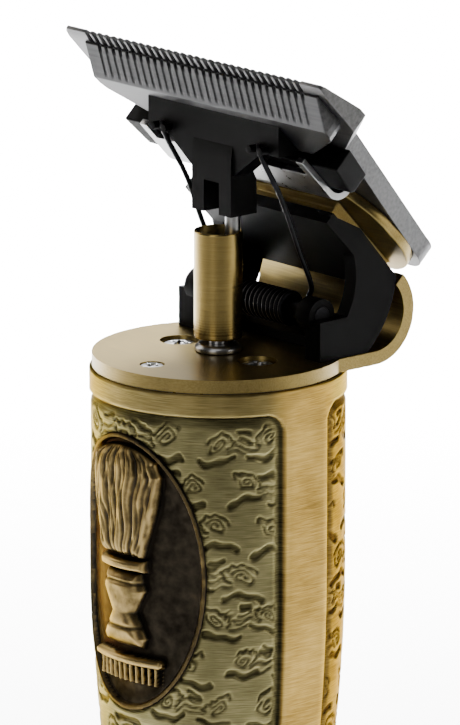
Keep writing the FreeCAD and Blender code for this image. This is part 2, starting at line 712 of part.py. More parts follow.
def make_motor():
    radius, low = dim("motor_radius"), dim("motor_low")
    lid = PLATE_LOW - 0.8
    body = new_body("motor_can")
    wall = [(2.0, lid), (radius - 0.8, lid), (radius - 0.8, low), (radius, low), (radius, PLATE_LOW),
            (2.0, PLATE_LOW)]
    revolve(body, outline_on(body, "XZ_Plane", "can_section", wall))
    holes = [(-MOTOR_SCREW_X, 0, 1.0), (MOTOR_SCREW_X, 0, 1.0), (0, FRONT_SCREW_Y, 0.8)]
    pocket(body, circles_on(body, "XY_Plane", "can_holes", holes, PLATE_LOW + 1), 3.0)
    node(body, "motor_can")

    shaft = dim("shaft_radius")
    bush = shaft + 0.02
    face = PLATE_TOP + 0.1
    flange = [(2.0, face), (2.6, face), (2.6, face + 0.45), (2.2, face + 0.8), (bush, face + 0.8)]
    turned("upper_bearing", [(bush, lid - 1.5), (2.0, lid - 1.5)] + flange)
    turned("lower_bearing", [(bush, low - 2.0), (2.2, low - 2.0), (2.2, low + 0.6), (bush, low + 0.6)])
    turned("motor_end_cap", [(2.2, low - 2.5), (radius - 0.2, low - 2.5), (radius - 0.2, low), (2.2, low)])
    rod = cylinder("shaft", "dims.shaft_radius", "dims.plate_top + dims.shaft_high - dims.motor_low + 1.5",
                   Vector(0, 0, low - 1.5))
    node(rod, "motor_shaft")
    # armature with three poles, magnets, commutator and brushes
    arm_low, arm_high = low + 6.5, low + 21.5
    rotor = new_body("rotor")
    revolve(rotor, outline_on(rotor, "XZ_Plane", "rotor_section",
                              [(shaft, arm_low), (7.5, arm_low), (7.5, arm_high), (shaft, arm_high)]))
    sketch = outline_on(rotor, "XY_Plane", "rotor_slot", rectangle(3.5, -0.9, 9.0, 0.9))
    doc.recompute()
    slot = pocket(rotor, sketch, 400.0, both_ways=True)
    poles = rotor.newObject("PartDesign::PolarPattern", "rotor_poles")
    poles.Originals = [slot]
    poles.Axis = (sketch, ["N_Axis"])
    poles.Angle = 360
    poles.Occurrences = 3
    rotor.Tip = poles
    node(rotor, "motor_rotor")
    turned("commutator", [(shaft, low + 1.5), (2.9, low + 1.5), (2.9, low + 5.0), (shaft, low + 5.0)])
    magnets = []
    for i, turn in enumerate((20, 200)):
        arc = Part.makeCylinder(10.9, 17.0, Vector(0, 0, low + 5.5), Vector(0, 0, 1), 140)
        arc = arc.cut(Part.makeCylinder(8.1, 17.0, Vector(0, 0, low + 5.5), Vector(0, 0, 1), 360))
        magnet = doc.addObject("Part::Feature", "magnet_%d" % i)
        magnet.Shape = arc
        magnet.Placement = Placement(Vector(), Rotation(Vector(0, 0, 1), turn))
        magnets.append(magnet)
    node(group("Part::Compound", "magnets_group", magnets), "motor_magnets")
    brushes = [box("brush_%d" % i, (min(a, b), -1.0, low + 2.2), (max(a, b), 1.0, low + 4.2))
               for i, (a, b) in enumerate(((2.95, 6.0), (-2.95, -6.0)))]
    node(group("Part::Compound", "brushes_group", brushes), "motor_brushes")
    tabs = [box("tab_%d" % i, (x - 1.0, LEAD_Y - 0.25, low - 5.2), (x + 1.0, LEAD_Y + 0.25, low - 2.5))
            for i, x in enumerate((-LEAD_X, LEAD_X))]
    node(group("Part::Compound", "terminals_group", tabs), "motor_terminals")
    leads = [cylinder("lead_%d" % i, 0.55, low - 5.2 - 62.0, Vector(x, LEAD_Y, 62.0))
             for i, x in enumerate((-LEAD_X, LEAD_X))]
    node(group("Part::Compound", "leads_group", leads), "motor_leads")


# ---------------------------------------------------------------- battery, board and button

BOARD_FRONT = -dim("board_front")


def make_battery():
    low = dim("cell_low")
    high = low + dim("cell_length")
    shift = Placement(Vector(0, dim("cell_shift"), 0), Rotation())
    radius = dim("cell_radius")
    cell = [(0, low), (radius, low), (radius, high), (2.8, high), (2.8, high + 0.8), (0, high + 0.8)]
    turned("battery_cell", cell, shift)
    rest, lift = high + 1.1, high + 3.6
    upper = turned("holder_upper_blank", [(3.4, rest), (10.3, rest), (10.3, lift), (3.4, lift)])
    nodes.remove(upper)
    front = box("holder_upper_front", (-12, -12, high), (12, -4.2, high + 6))
    node(cut("holder_upper_cut", upper, front), "holder_upper")
    seat = low - 0.3
    turned("holder_lower", [(0, 15.0), (11.3, 15.0), (11.3, 22.0), (9.6, 26.0), (9.6, seat), (0, seat)])
    strips = []
    for i, z in enumerate((seat, high + 0.8)):
        strips.append(box("strip_%d" % i, (-2.5, -4.6, z), (2.5, dim("cell_shift") + 2.5, z + 0.3)))
    down = box("strip_down", (-2.5, -4.9, 66.0), (2.5, -4.6, high + 1.1))
    strips[1] = group("Part::MultiFuse", "strip_upper", [strips[1], down])
    node(group("Part::Compound", "strips_group", strips), "battery_strips")


def make_controls():
    height = dim("button_height")
    board_low = dim("cell_low") + 0.2
    node(box("board", (-7.8, BOARD_FRONT, board_low), (7.8, -4.6, 66.0)), "circuit_board")
    chips = [((-6.4, 56.0), (-2.6, 60.0), 1.1), ((1.5, 55.0), (5.0, 58.5), 0.9),
             ((-6.8, 33.0), (-3.8, 36.5), 0.8), ((3.2, 32.4), (6.8, 35.4), 1.2),
             ((-0.8, height - 9.4), (0.8, height - 8.6), 0.4)]
    blocks = [box("chip_%d" % i, (a[0], BOARD_FRONT - tall, a[1]), (b[0], BOARD_FRONT, b[1]))
              for i, (a, b, tall) in enumerate(chips)]
    node(group("Part::Compound", "chips_group", blocks), "board_chips")
    case = box("switch_case", (-2.3, BOARD_FRONT - 1.7, height - 2.3), (2.3, BOARD_FRONT, height + 2.3))
    plunger = cylinder("switch_plunger", 1.0, 0.6, Vector(0, BOARD_FRONT - 1.9, height), Vector(0, 1, 0))
    node(group("Part::MultiFuse", "switch_fuse", [case, plunger]), "tact_switch")

    # the button turned about Y: cap, flange and stem
    face, back = 12.3, 7.95
    section = [(0, back), (1.4, back), (1.4, 8.3), (3.8, 8.3), (3.8, 8.95), (3.2, 8.95), (3.2, face - 0.4),
               (2.8, face), (0, face)]
    turned("power_button", section, Placement(Vector(0, 0, height), Rotation(Vector(1, 0, 0), 90)))
    lens = [(0, 6.1), (1.1, 6.1), (1.1, 12.45), (0, 12.45)]
    turned("led_lens", lens, Placement(Vector(0, 0, height - 9.0), Rotation(Vector(1, 0, 0), 90)))

    # charging socket and its board in the bottom cap
    socket = new_body("charging_socket")
    pad(socket, outline_on(socket, "XY_Plane", "socket_shell", stadium(2.75, 1.6), 0.5), 8.0)
    pocket(socket, outline_on(socket, "XY_Plane", "socket_hollow", stadium(2.75, 1.3), 7.5), 8.0)
    y = dim("socket_y")
    tongue = rectangle(-3.3, y - 0.35, 3.3, y + 0.35)
    pad(socket, outline_on(socket, "XY_Plane", "socket_tongue", tongue, 1.4), 6.5)
    node(socket, "charging_socket")
    board = cylinder("round_board", 9.6, 1.0, Vector(0, 0, 8.5))
    holes = [cylinder("board_hole_%d" % i, 0.95, 3.0, Vector(x, 0, 7.5)) for i, x in enumerate(CAP_SCREWS)]
    node(cut("charge_board_cut", board, group("Part::MultiFuse", "board_holes", holes)), "charge_board")


# ---------------------------------------------------------------- run

def check_and_export():
    doc.recompute()
    bad = [o.Name for o in doc.Objects if "Invalid" in o.State or "Error" in o.State]
    if bad:
        raise RuntimeError("failed objects: " + ", ".join(bad))
    os.makedirs("parts", exist_ok=True)
    for item in nodes:
        shape = item.Shape
        if shape.isNull() or not shape.isValid() or not shape.Solids:
            raise RuntimeError(item.Label + " has no valid solid")
        shape.exportStep(os.path.join("parts", item.Label + ".step"))
        print("%-18s solids %d volume %.1f" % (item.Label, len(shape.Solids), shape.Volume))


for make in (make_housing, make_medallion, make_bottom_cap, make_neck_bracket, make_plate_screws,
             make_fixed_blade, make_moving_blade, make_blade_plate, make_blade_screws, make_guides,
             make_drive, make_swing_fork, make_torsion_spring, make_spring_bracket, make_motor,
             make_battery, make_controls):
    make()
check_and_export()
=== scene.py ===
"""Looks for the all-metal T-blade hair clipper: antique brass body, medallion, steel blades."""

import json
import math

import bmesh
import bpy
import numpy as np
from mathutils import Matrix, Vector


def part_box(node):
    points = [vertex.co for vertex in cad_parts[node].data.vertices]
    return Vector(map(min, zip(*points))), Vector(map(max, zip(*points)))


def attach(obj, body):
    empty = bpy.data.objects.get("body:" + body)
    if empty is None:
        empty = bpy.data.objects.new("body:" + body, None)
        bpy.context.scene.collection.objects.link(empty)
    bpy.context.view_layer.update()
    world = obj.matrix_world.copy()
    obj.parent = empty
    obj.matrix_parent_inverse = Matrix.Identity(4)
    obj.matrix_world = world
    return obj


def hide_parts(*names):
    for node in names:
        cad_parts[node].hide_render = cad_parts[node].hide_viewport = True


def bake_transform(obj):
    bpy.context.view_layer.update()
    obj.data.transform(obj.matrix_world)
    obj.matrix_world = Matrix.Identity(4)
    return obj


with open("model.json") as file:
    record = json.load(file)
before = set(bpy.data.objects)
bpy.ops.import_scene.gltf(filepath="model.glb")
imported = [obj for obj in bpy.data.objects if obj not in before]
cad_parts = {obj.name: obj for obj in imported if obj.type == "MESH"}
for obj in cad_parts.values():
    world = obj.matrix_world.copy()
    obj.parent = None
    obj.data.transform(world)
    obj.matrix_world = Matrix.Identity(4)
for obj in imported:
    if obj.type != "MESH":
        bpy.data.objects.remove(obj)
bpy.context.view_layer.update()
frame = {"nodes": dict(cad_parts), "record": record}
NODES = frame["nodes"]
MM = 0.001

# ---------------------------------------------------------------- sizes, in millimetres

PLATE_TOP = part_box("neck_bracket")[0].z / MM + 1.5
PLATE_LOW = PLATE_TOP - 1.5
BODY_R = 14.3
CAP_TOP = 7.0
BLADE_TILT = math.radians(46.5)
FORK_X = (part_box("swing_fork")[0].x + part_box("swing_fork")[1].x) / 2 / MM


# ---------------------------------------------------------------- mesh helpers

def add_mesh(name, points, faces, material, smooth=True):
    """A new mesh object from points in millimetres."""
    mesh = bpy.data.meshes.new(name)
    mesh.from_pydata((np.asarray(points, float) * MM).tolist(), [], [list(f) for f in faces])
    mesh.update()
    obj = bpy.data.objects.new(name, mesh)
    bpy.context.scene.collection.objects.link(obj)
    mesh.materials.append(material)
    for polygon in mesh.polygons:
        polygon.use_smooth = smooth
    return obj


def grid_faces(rows, cols, wrap=False):
    """Quads of a grid of rows by cols points, wound for rows going up and columns going left."""
    r, c = np.meshgrid(np.arange(rows - 1), np.arange(cols if wrap else cols - 1), indexing="ij")
    a = r * cols + c
    b = r * cols + (c + 1) % cols
    return np.stack([a, b, b + cols, a + cols], -1).reshape(-1, 4)


def add_tone(obj, values, name="tone"):
    """Keep one number per point for the material to read: how bright the metal is there, rubbed bright or
    darkened by patina, and where painted shade and painted highlights are laid in.
    """
    tone = obj.data.attributes.new(name, "FLOAT", "POINT")
    tone.data.foreach_set("value", np.asarray(values, np.float32).ravel())


def soften(field, times):
    """Blur a grid of numbers a little, once for each time."""
    field = field.copy()
    for _ in range(times):
        field[1:-1, 1:-1] = (field[:-2, 1:-1] + field[2:, 1:-1] + field[1:-1, :-2] + field[1:-1, 2:]) / 4
    return field


def lathe(name, profile, place, material, sides=96):
    """A closed surface turned about the place's own Z from (radius, height) points."""
    profile = np.asarray(profile, float)
    turn = np.linspace(0, 2 * math.pi, sides, endpoint=False)
    r, z = profile[:, 0, None], profile[:, 1, None]
    points = np.stack([r * np.cos(turn), r * np.sin(turn), z + 0 * turn], -1).reshape(-1, 3)
    faces = [tuple(f) for f in grid_faces(len(profile), sides, wrap=True)]
    faces += [tuple(reversed(range(sides))), tuple(range(len(points) - sides, len(points)))]
    points = points @ np.array(place.to_3x3()).T + np.array(place.translation)
    return add_mesh(name, points, faces, material)


def sweep(points, radius, sides=10):
    """Points and faces of a round wire along a path, its ends closed."""
    path = np.asarray(points, float)
    ahead = np.gradient(path, axis=0)
    ahead /= np.linalg.norm(ahead, axis=1, keepdims=True)
    side = np.cross(ahead[0], (0.31, 0.52, 0.79))
    rings = []
    for here, forward in zip(path, ahead):
        side = side - forward * np.dot(side, forward)
        side /= np.linalg.norm(side)
        across = np.cross(forward, side)
        turn = np.linspace(0, 2 * math.pi, sides, endpoint=False)[:, None]
        rings.append(here + radius * (np.cos(turn) * side + np.sin(turn) * across))
    faces = [tuple(f) for f in grid_faces(len(path), sides, wrap=True)]
    faces += [tuple(reversed(range(sides))), tuple(range((len(path) - 1) * sides, len(path) * sides))]
    return np.concatenate(rings), faces


def smooth_path(corners, per_leg=14):
    """A curve through the corners, rounded the Catmull-Rom way."""
    corners = np.asarray(corners, float)
    padded = np.concatenate([[2 * corners[0] - corners[1]], corners, [2 * corners[-1] - corners[-2]]])
    out = []
    for a, b, c, d in zip(padded, padded[1:], padded[2:], padded[3:]):
        t = np.linspace(0, 1, per_leg, endpoint=False)[:, None]
        out.append(0.5 * (2 * b + (c - a) * t + (2 * a - 5 * b + 4 * c - d) * t ** 2
                          + (3 * b - a - 3 * c + d) * t ** 3))
    return np.concatenate(out + [corners[-1:]])


def merged(parts):
    """Several (points, faces) as one."""
    points, faces = [], []
    for some, its in parts:
        shift = sum(len(p) for p in points)
        points.append(np.asarray(some, float))
        faces += [tuple(i + shift for i in f) for f in its]
    return np.concatenate(points), faces


def dress(node, edge=0.15, clamp=True):
    """Round the edges of a CAD node that stays, in mm, and shade it smoothly."""
    shell = NODES[node]
    for polygon in shell.data.polygons:
        polygon.use_smooth = True
    weld = shell.modifiers.new("weld", "WELD")
    weld.merge_threshold = 0.000002
    flat = shell.modifiers.new("flat", "DECIMATE")
    flat.decimate_type = "DISSOLVE"
    flat.angle_limit = math.radians(0.6)
    bevel = shell.modifiers.new("edges", "BEVEL")
    bevel.width = edge * MM
    bevel.segments = 3
    bevel.use_clamp_overlap = clamp
    bevel.limit_method = "ANGLE"
    bevel.angle_limit = math.radians(32)
    bevel.harden_normals = False
    normals = shell.modifiers.new("normals", "WEIGHTED_NORMAL")
    normals.keep_sharp = True


def smoothstep(low, high, x):
    t = np.clip((x - low) / (high - low), 0, 1)
    return t * t * (3 - 2 * t)


# ---------------------------------------------------------------- materials

def new_material(name):
    mat = bpy.data.materials.new(name)
    mat.use_nodes = True
    tree = mat.node_tree
    return mat, tree, tree.nodes["Principled BSDF"]


def link(tree, a, a_out, b, b_in):
    tree.links.new(a.outputs[a_out], b.inputs[b_in])


def texture(tree, kind, scale, stretch=(1, 1, 1), **settings):
    """A procedural texture in object space, scaled by stretch."""
    coords = tree.nodes.new("ShaderNodeTexCoord")
    mapping = tree.nodes.new("ShaderNodeMapping")
    mapping.inputs["Scale"].default_value = stretch
    link(tree, coords, "Object", mapping, "Vector")
    tex = tree.nodes.new("ShaderNodeTex" + kind)
    tex.inputs["Scale"].default_value = scale
    for key, value in settings.items():
        tex.inputs[key].default_value = value
    link(tree, mapping, "Vector", tex, "Vector")
    return tex


def ramp(tree, source, output, stops):
    """A colour ramp fed by one output; stops are (place, colour)."""
    node = tree.nodes.new("ShaderNodeValToRGB")
    elements = node.color_ramp.elements
    while len(elements) < len(stops):
        elements.new(0.5)
    for element, (place, colour) in zip(elements, stops):
        element.position = place
        element.color = (*colour, 1) if len(colour) == 3 else colour
    link(tree, source, output, node, "Fac")
    return node


def to_range(tree, source, output, low, high, from_low=0.0, from_high=1.0):
    node = tree.nodes.new("ShaderNodeMapRange")
    node.inputs["From Min"].default_value = from_low
    node.inputs["From Max"].default_value = from_high
    node.inputs["To Min"].default_value = low
    node.inputs["To Max"].default_value = high
    link(tree, source, output, node, "Value")
    return node


def mix_colour(tree, factor, a, b, blend="MIX"):
    """Mix two colours; each argument is a (node, output) pair, a colour or a number."""
    node = tree.nodes.new("ShaderNodeMix")
    node.data_type = "RGBA"
    node.blend_type = blend
    for socket, value in ((node.inputs["Factor"], factor), (node.inputs[6], a), (node.inputs[7], b)):
        if isinstance(value, tuple) and isinstance(value[0], bpy.types.Node):
            tree.links.new(value[0].outputs[value[1]], socket)
        elif isinstance(value, tuple):
            socket.default_value = (*value, 1)
        else:
            socket.default_value = value
    return node


def bump(tree, shader, source, output, strength, distance):
    node = tree.nodes.new("ShaderNodeBump")
    node.inputs["Strength"].default_value = strength
    node.inputs["Distance"].default_value = distance
    link(tree, source, output, node, "Height")
    link(tree, node, "Normal", shader, "Normal")
    return node


def metal(name, dark, light, rough=(0.3, 0.45), grain=(1, 1, 1), grain_scale=900.0, scratch=0.25,
          blotch=40.0):
    """Brushed or turned metal: fine grain along one direction over a slow change of tone."""
    mat, tree, shader = new_material(name)
    shader.inputs["Metallic"].default_value = 1.0
    fine = texture(tree, "Noise", grain_scale, grain, Detail=3.0)
    slow = texture(tree, "Noise", blotch, Detail=4.0)
    tone = mix_colour(tree, 0.5, (fine, "Fac"), (slow, "Fac"))
    colours = ramp(tree, tone, 2, [(0.35, dark), (0.68, light)])
    link(tree, colours, "Color", shader, "Base Color")
    link(tree, to_range(tree, fine, "Fac", *rough), "Result", shader, "Roughness")
    bump(tree, shader, fine, "Fac", scratch, 0.00002)
    return mat


def relief_metal(name, olive, gold, rough=(0.34, 0.52), grain=(1, 1, 30), grain_scale=400.0, scratch=0.25):
    """Antique metal: tone runs from dark patina and painted shade to rubbed high spots and painted
    highlights, gold from one ramp to another.
    """
    mat, tree, shader = new_material(name)
    shader.inputs["Metallic"].default_value = 0.96
    shader.inputs["Specular Tint"].default_value = (0.62, 0.48, 0.26, 1)
    tone = tree.nodes.new("ShaderNodeAttribute")
    tone.attribute_name = "tone"
    kind = tree.nodes.new("ShaderNodeAttribute")
    kind.attribute_name = "gold"
    fine = texture(tree, "Noise", grain_scale, grain, Detail=4.0)
    slow = texture(tree, "Noise", 160.0, Detail=5.0)
    total = None
    for source, output, reach in ((fine, "Fac", 0.14), (slow, "Fac", 0.1)):
        shift = to_range(tree, source, output, -reach, reach, 0.3, 0.7)
        add = tree.nodes.new("ShaderNodeMath")
        add.operation = "ADD"
        link(tree, shift, "Result", add, 0)
        if total:
            link(tree, total, 0, add, 1)
        else:
            link(tree, tone, "Fac", add, 1)
        total = add
    first = ramp(tree, total, 0, olive)
    second = ramp(tree, total, 0, gold)
    colours = mix_colour(tree, (kind, "Fac"), (first, "Color"), (second, "Color"))
    link(tree, colours, 2, shader, "Base Color")
    link(tree, to_range(tree, total, 0, rough[1], rough[0]), "Result", shader, "Roughness")
    bump(tree, shader, fine, "Fac", scratch, 0.00003)
    return mat


def plastic(name, colour, rough=0.45, speckle=0.12, gloss=0.5):
    """Moulded plastic with a fine spark-eroded texture."""
    mat, tree, shader = new_material(name)
    fine = texture(tree, "Noise", 2500.0, Detail=2.0)
    slow = texture(tree, "Noise", 90.0, Detail=3.0)
    lighter = tuple(min(1, c * 1.4 + 0.001) for c in colour)
    colours = ramp(tree, slow, "Fac", [(0.3, colour), (0.75, lighter)])
    link(tree, colours, "Color", shader, "Base Color")
    spread = to_range(tree, slow, "Fac", rough - 0.06, rough + 0.08, 0.3, 0.7)
    link(tree, spread, "Result", shader, "Roughness")
    shader.inputs["Specular IOR Level"].default_value = gloss
    bump(tree, shader, fine, "Fac", speckle, 0.00003)
    return mat


OLIVE = [(0.0, (0.014, 0.012, 0.006)), (0.35, (0.09, 0.079, 0.033)), (0.65, (0.24, 0.215, 0.10)),
         (1.0, (0.48, 0.43, 0.21))]
GOLD = [(0.0, (0.022, 0.013, 0.004)), (0.35, (0.18, 0.11, 0.026)), (0.65, (0.42, 0.275, 0.072)),
        (1.0, (0.70, 0.49, 0.15))]
FIELD = [(0.0, (0.011, 0.009, 0.007)), (0.35, (0.042, 0.035, 0.025)), (0.65, (0.11, 0.08, 0.034)),
         (1.0, (0.40, 0.29, 0.12))]

MATERIALS = {
    "antique_brass": metal("antique_brass", (0.20, 0.148, 0.05), (0.35, 0.262, 0.095),
                           (0.26, 0.4), (1, 30, 30), 200.0),
    "body_brass": relief_metal("body_brass", OLIVE, GOLD),
    "medallion_brass": relief_metal("medallion_brass", FIELD, FIELD, (0.3, 0.5), (1, 1, 1), 900.0),
    "bright_brass": metal("bright_brass", (0.30, 0.215, 0.07), (0.50, 0.37, 0.13),
                          (0.2, 0.3), (1, 1, 60), 300.0, 0.1),
    "blade_steel": metal("blade_steel", (0.075, 0.075, 0.077), (0.15, 0.15, 0.153),
                         (0.36, 0.48), (1, 40, 40), 60.0),
    # cutter_steel is blade_steel painted darker, as painted shade on the moving blade
    "cutter_steel": metal("cutter_steel", (0.03, 0.03, 0.031), (0.065, 0.065, 0.067),
                          (0.36, 0.48), (1, 40, 40), 60.0),
    "polished_steel": metal("polished_steel", (0.36, 0.365, 0.37), (0.52, 0.525, 0.53), (0.24, 0.34)),
    "black_plastic": plastic("black_plastic", (0.0012, 0.0012, 0.0014), 0.5, gloss=0.06),
    "black_wire": metal("black_wire", (0.008, 0.008, 0.009), (0.02, 0.02, 0.022), (0.34, 0.48)),
    "black_rubber": plastic("black_rubber", (0.01, 0.01, 0.01), 0.7, gloss=0.3),
    "battery_wrap": plastic("battery_wrap", (0.02, 0.12, 0.32), 0.3, 0.03),
    "board_green": plastic("board_green", (0.01, 0.11, 0.04), 0.35, 0.05),
    "chip_black": plastic("chip_black", (0.02, 0.02, 0.02), 0.5),
    "copper": metal("copper", (0.55, 0.27, 0.13), (0.80, 0.45, 0.26), (0.25, 0.4)),
    "magnet_grey": metal("magnet_grey", (0.08, 0.08, 0.085), (0.15, 0.15, 0.155), (0.5, 0.65)),
    "rotor_steel": metal("rotor_steel", (0.2, 0.2, 0.21), (0.36, 0.36, 0.37), (0.4, 0.5), (1, 1, 20)),
    "white_plastic": plastic("white_plastic", (0.62, 0.62, 0.60), 0.45),
    "clear_lens": plastic("clear_lens", (0.55, 0.58, 0.60), 0.2, 0.02),
    "lead_red": plastic("lead_red", (0.35, 0.02, 0.015), 0.35, 0.03),
}

# every CAD node starts with its slot's own material
for part in frame["record"]["subparts"]:
    shell = NODES[part["node"]]
    shell.data.materials.clear()
    shell.data.materials.append(MATERIALS[part["material_slot"]])


# ---------------------------------------------------------------- body tube

def circle_through(p, q, r):
    """Centre and radius of the circle through three (radius, height) points."""
    (ax, ay), (bx, by), (cx, cy) = p, q, r
    d = 2 * (ax * (by - cy) + bx * (cy - ay) + cx * (ay - by))
    aa, bb, cc = ax * ax + ay * ay, bx * bx + by * by, cx * cx + cy * cy
    ux = (aa * (by - cy) + bb * (cy - ay) + cc * (ay - by)) / d
    uy = (aa * (cx - bx) + bb * (ax - cx) + cc * (bx - ax)) / d
    return ux, uy, math.hypot(ax - ux, ay - uy)


ARCS = [((13.57, 22.0), (13.33, 32.5), (12.6, 43.0)),
        ((12.6, 43.0), (11.88, 58.6), (12.98, 78.0)),
        ((12.98, 78.0), (13.96, 89.5), (14.29, 101.0))]


def tube_radius(z):
    """The tube's outer radius at each height: straight ends and three arcs between."""
    z = np.asarray(z, float)
    radius = np.interp(z, [CAP_TOP, 22.0, 101.0, 119.8], [13.7, 13.57, 14.29, BODY_R])
    for start, middle, end in ARCS:
        cx, cy, r = circle_through(start, middle, end)
        side = 1 if middle[0] > cx else -1
        inside = (z >= start[1]) & (z <= end[1])
        height = np.clip(np.abs(z - cy), 0, r)
        radius = np.where(inside, cx + side * np.sqrt(r * r - height ** 2), radius)
    return radius


FRONT_HALF, BACK_HALF = math.radians(79.0), math.radians(74.0)
PANEL_LOW, PANEL_HIGH = 14.0, 119.8
ARC_R = 14.0


def panel_distance(theta, z, half):
    """Signed distance in mm to a panel's rounded outline, theta measured from the panel's middle."""
    s = np.abs(theta) * ARC_R
    corner = 2.2
    mid, half_tall = (PANEL_LOW + PANEL_HIGH) / 2, (PANEL_HIGH - PANEL_LOW) / 2
    dx = s - (half * ARC_R - corner)
    dz = np.abs(z - mid) - (half_tall - corner)
    outside = np.hypot(np.maximum(dx, 0), np.maximum(dz, 0))
    return outside + np.minimum(np.maximum(dx, dz), 0) - corner


# ---- relief drawn as distances on the panel, in mm: s around the tube, z up

class Relief:
    """A height field on the panel, in mm, with the drawing tools that the pattern needs."""

    def __init__(self, s, z):
        self.s, self.z = s, z
        self.floor = np.full_like(s, 9.0)
        self.cuts = np.zeros_like(s)

    def window(self, points, reach):
        low, high = np.min(points, 0) - reach, np.max(points, 0) + reach
        return (self.s > low[0]) & (self.s < high[0]) & (self.z > low[1]) & (self.z < high[1])

    def capsule(self, a, b, ra, rb, where):
        """Distance to a tapered stroke from a to b."""
        s, z = self.s[where], self.z[where]
        ds, dz = b[0] - a[0], b[1] - a[1]
        t = np.clip(((s - a[0]) * ds + (z - a[1]) * dz) / max(ds * ds + dz * dz, 1e-9), 0, 1)
        return np.hypot(s - a[0] - t * ds, z - a[1] - t * dz) - (ra + (rb - ra) * t)

    def sunk(self, a, b, ra, rb):
        """Part of the ground between the clouds, joined softly to what is there."""
        where = self.window([a, b], 3.5)
        d = self.capsule(a, b, ra, rb, where)
        old = self.floor[where]
        share = np.clip(0.5 + 0.5 * (old - d) / 0.35, 0, 1)
        self.floor[where] = old + (d - old) * share - 0.35 * share * (1 - share)

    def groove(self, points, width=0.15, depth=0.2):
        """A thin line through the points, rounded between them."""
        points = smooth_path(points, 6)
        where = self.window(points, 1.0)
        if not where.any():
            return
        d = np.full(where.sum(), 9.0)
        for a, b in zip(points, points[1:]):
            d = np.minimum(d, self.capsule(a, b, 0, 0, where))
        self.cuts[where] = np.minimum(self.cuts[where], -depth * np.exp(-(d / width) ** 2))

    def spiral(self, cs, cz, r, turns, start, flip, squash=0.82):
        t = np.linspace(0, 1, int(8 * turns) + 3)
        turn = math.radians(start) + 2 * math.pi * turns * t * flip
        radius = r * (1 - 0.84 * t)
        self.groove(np.stack([cs + radius * np.cos(turn), cz + squash * radius * np.sin(turn)], -1))

    def cloud(self, cs, cz, k, flip=1):
        """A scalloped cloud head with a spiral in it."""
        lobes = [(-1.0, -0.5), (-1.28, 0.05), (-1.0, 0.62), (-0.4, 1.02), (0.35, 1.08), (1.0, 0.75)]
        rim = [(cs + flip * x * k, cz + 0.85 * y * k) for x, y in lobes]
        for a, b in zip(rim, rim[1:]):
            across, up = a[0] + b[0], a[1] + b[1]
            bulge = (across / 2 + (across - 2 * cs) * 0.11, up / 2 + (up - 2 * cz) * 0.11)
            self.groove([a, bulge, b], 0.16, 0.24)
        self.spiral(cs, cz, 0.82 * k, 1.5, 150, -flip)

    def height(self):
        ground = smoothstep(0.14, -0.14, self.floor)
        return -0.22 * ground + 0.85 * self.cuts * (1 - ground)


CLOUD_ROW, CLOUD_COLUMN = 5.0, 5.9


def draw_cell(relief, s, z, size, flip):
    """One scroll cloud, with a sunk streak of ground below it and two flowing lines behind."""
    low = z - 1.5 * size
    relief.sunk((s - flip * 1.8 * size, low), (s + flip * 1.3 * size, low - 0.25), 0.26, 0.46)
    relief.sunk((s - flip * 2.0 * size, z + 0.9 * size), (s - flip * 3.0 * size, z + 0.75 * size), 0.2, 0.3)
    relief.cloud(s, z, size, flip)
    for drop in (0.1, 0.75):
        line = [(s - flip * reach * size, z - drop * size + lift)
                for reach, lift in ((1.1, 0.0), (1.9, 0.16), (2.6, -0.05), (3.2, 0.12))]
        relief.groove(line, 0.13, 0.16)


def draw_clouds(relief):
    """Staggered rows of scroll clouds, the same on both sides of the panel's middle."""
    rows = int((PANEL_HIGH - PANEL_LOW) / CLOUD_ROW)
    for row in range(rows):
        for column in range(4):
            s = CLOUD_COLUMN * (column + 0.5 * (row % 2))
            z = PANEL_HIGH - 2.8 - CLOUD_ROW * row + 0.4 * math.sin(1.9 * row + 2.4 * column)
            size = 1.25 + 0.2 * math.sin(1.3 * row + 2.1 * column)
            flip = 1 if (row // 2 + column) % 2 else -1
            for side in (1, -1) if s > 0 else (1,):
                draw_cell(relief, side * s, z, size, side * flip)


def panel_relief(s, z):
    """Height of the cloud relief against the clouds' own level."""
    # a slow wander keeps the carving from looking ruled
    away = smoothstep(0.0, 3.0, np.abs(s)) * np.sign(s)
    out = np.abs(s)
    wander_s = away * (0.32 * np.sin(z * 1.05 + 0.7 * np.sin(out * 0.6)) + 0.14 * np.sin(z * 2.6 + out))
    wander_z = 0.32 * np.sin(out * 1.15 + 0.45 * z) + 0.12 * np.sin(out * 2.9 - 0.8 * z)
    relief = Relief(s + wander_s, z + wander_z)
    draw_clouds(relief)
    return relief.height()


MEDALLION_MID = 101.1
MEDALLION_TALL = 15.6
MEDALLION_WIDE = math.radians(42.6) * ARC_R


def oval_distance(s, z):
    """Distance in mm, near enough, from the medallion's oval edge."""
    x, y = s / MEDALLION_WIDE, (z - MEDALLION_MID) / MEDALLION_TALL
    level = np.hypot(x, y)
    slope = np.hypot(x / MEDALLION_WIDE, y / MEDALLION_TALL) / np.maximum(level, 1e-6)
    return (level - 1) / np.maximum(slope, 1e-6)


WINDOW_LOW, WINDOW_MID, WINDOW_HIGH = 13.4, 66.0, 120.4


def ring_angles():
    """Angles round the tube from the front, close together in the panels and wide on the columns."""
    margin = math.radians(1.4)
    front, back = FRONT_HALF + margin, BACK_HALF + margin
    column = np.linspace(front, math.pi - back, 12)[1:-1]
    return np.concatenate([np.linspace(-front, front, 240), column,
                           np.linspace(math.pi - back, math.pi + back, 158), 2 * math.pi - column[::-1]])


def opening_distance(node, size, s, z, on_front):
    """Distance in mm outside a round opening in the front, centred on a node."""
    low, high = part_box(node)
    mid_x, mid_z = (low.x + high.x) / 2 / MM, (low.z + high.z) / 2 / MM
    return np.where(on_front, np.hypot(s - mid_x, z - mid_z) - size, 99.0)


